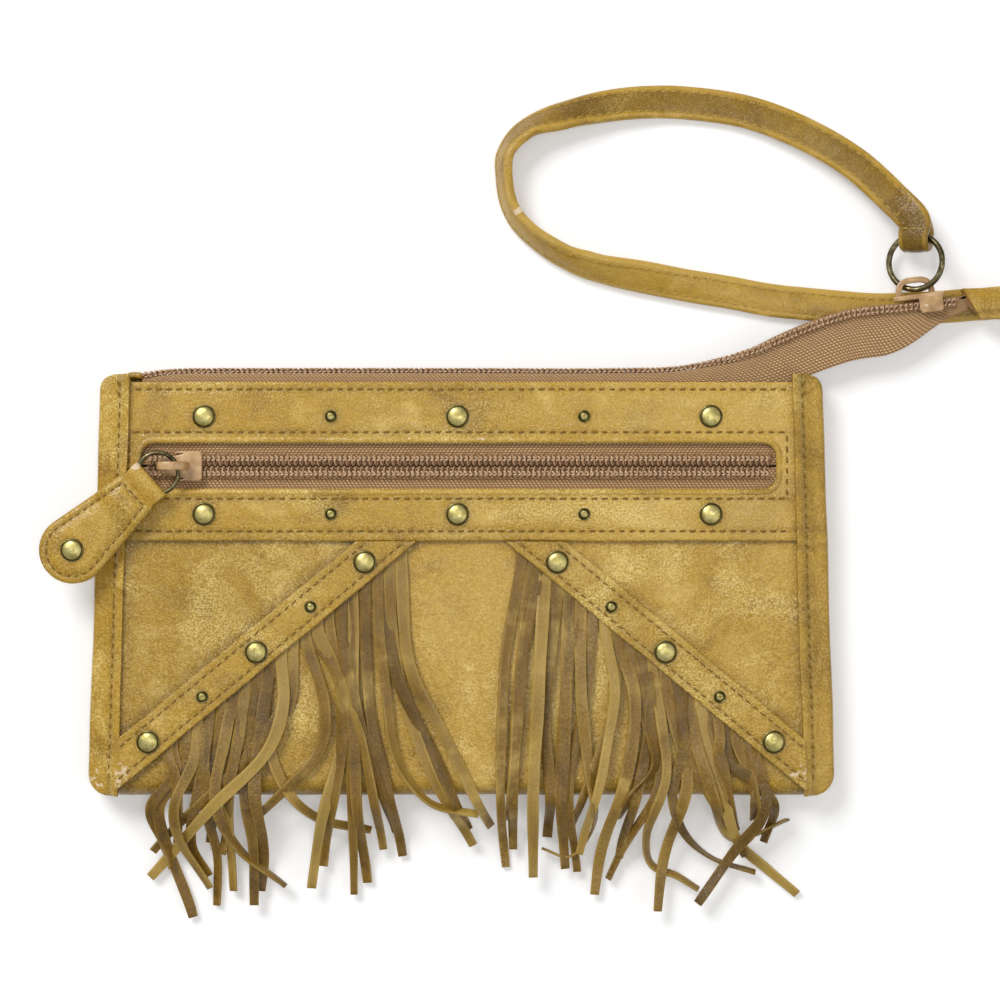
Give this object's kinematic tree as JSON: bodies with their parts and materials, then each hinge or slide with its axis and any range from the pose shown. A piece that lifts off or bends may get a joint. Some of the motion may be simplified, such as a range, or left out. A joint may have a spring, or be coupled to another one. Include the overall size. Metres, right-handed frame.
{
  "type": "fringed leather wristlet bag",
  "caption": "Flat leather wristlet with a zipped mouth, zipped front pocket, diagonal studded straps, cut fringe and a wrist strap held by a ring on the zip slider.",
  "frame": {"origin": "middle of the flat back face, on the table", "axes": "+X along the mouth towards the loose end of the top zip, +Y from the bottom fold to the mouth, +Z out of the front"},
  "size_m": [0.2558, 0.2174, 0.017],
  "materials": {
    "tan_leather": "waxed tan smooth leather with darker creases",
    "strap_leather": "waxed olive tan leather",
    "fringe_leather": "thin cut leather, brown face and lighter back",
    "lining_cloth": "plain woven lining",
    "zip_tape": "mauve brown woven tape",
    "zip_coil": "brown moulded coil",
    "slider_enamel": "rosy tan enamel",
    "antique_brass": "antiqued brass",
    "dark_brass": "dark antiqued brass wire"
  },
  "bodies": {
    "bag": {"body_shell": "tan_leather", "zip_band": "tan_leather", "left_binding": "tan_leather", "right_binding": "tan_leather", "left_diagonal_strap": "tan_leather", "right_diagonal_strap": "tan_leather", "left_fringe": "fringe_leather", "right_fringe": "fringe_leather", "main_lining": "lining_cloth", "pocket_lining": "lining_cloth", "pocket_upper_tape": "zip_tape", "pocket_lower_tape": "zip_tape", "pocket_upper_coil": "zip_coil", "pocket_lower_coil": "zip_coil", "top_front_tape": "zip_tape", "top_back_tape": "zip_tape", "top_front_coil": "zip_coil", "top_back_coil": "zip_coil", "zip_end_tab": "strap_leather", "band_top_rivet_1": "antique_brass", "band_low_rivet_1": "antique_brass", "band_top_rivet_2": "antique_brass", "band_low_rivet_2": "antique_brass", "band_top_rivet_3": "antique_brass", "band_low_rivet_3": "antique_brass", "band_top_rivet_4": "antique_brass", "band_low_rivet_4": "antique_brass", "band_top_rivet_5": "antique_brass", "band_low_rivet_5": "antique_brass", "left_diagonal_rivet_1": "antique_brass", "left_diagonal_rivet_2": "antique_brass", "left_diagonal_rivet_3": "antique_brass", "left_diagonal_rivet_4": "antique_brass", "left_diagonal_rivet_5": "antique_brass", "right_diagonal_rivet_1": "antique_brass", "right_diagonal_rivet_2": "antique_brass", "right_diagonal_rivet_3": "antique_brass", "right_diagonal_rivet_4": "antique_brass", "right_diagonal_rivet_5": "antique_brass"},
    "pocket_slider": {"pocket_slider": "slider_enamel"},
    "pocket_ring": {"pocket_ring": "dark_brass"},
    "pull_tab": {"pull_neck": "tan_leather", "pull_tab_back": "tan_leather", "pull_tab_front": "tan_leather", "pull_rivet": "antique_brass"},
    "top_slider": {"top_slider": "slider_enamel", "wrist_strap": "strap_leather"},
    "strap_ring": {"strap_ring": "dark_brass"}
  },
  "joints": [
    {"name": "pocket_slider_slide", "type": "slide", "parent": "bag", "child": "pocket_slider", "axis": [1, 0, 0], "range_m": [0, 0.138]},
    {"name": "pocket_ring_swing", "type": "hinge", "parent": "pocket_slider", "child": "pocket_ring", "pos_m": [-0.07309, 0.03135, 0.0146], "axis": [-0.3524, 0.9358, 0], "range_deg": [0, 120]},
    {"name": "pull_tab_swing", "type": "hinge", "parent": "pocket_ring", "child": "pull_tab", "pos_m": [-0.0819, 0.02598, 0.0146], "axis": [-0.6704, 0.742, 0], "range_deg": [0, 55], "deforming": ["pull_neck"]},
    {"name": "top_slider_slide", "type": "slide", "parent": "bag", "child": "top_slider", "axis": [0.9935, 0.114, 0], "range_m": [-0.012, 0.0035]},
    {"name": "strap_ring_turn", "type": "hinge", "parent": "top_slider", "child": "strap_ring", "pos_m": [0.11842, 0.0846, 0.0062], "axis": [-0.4383, 0.0111, 0.8988], "continuous": true}
  ]
}
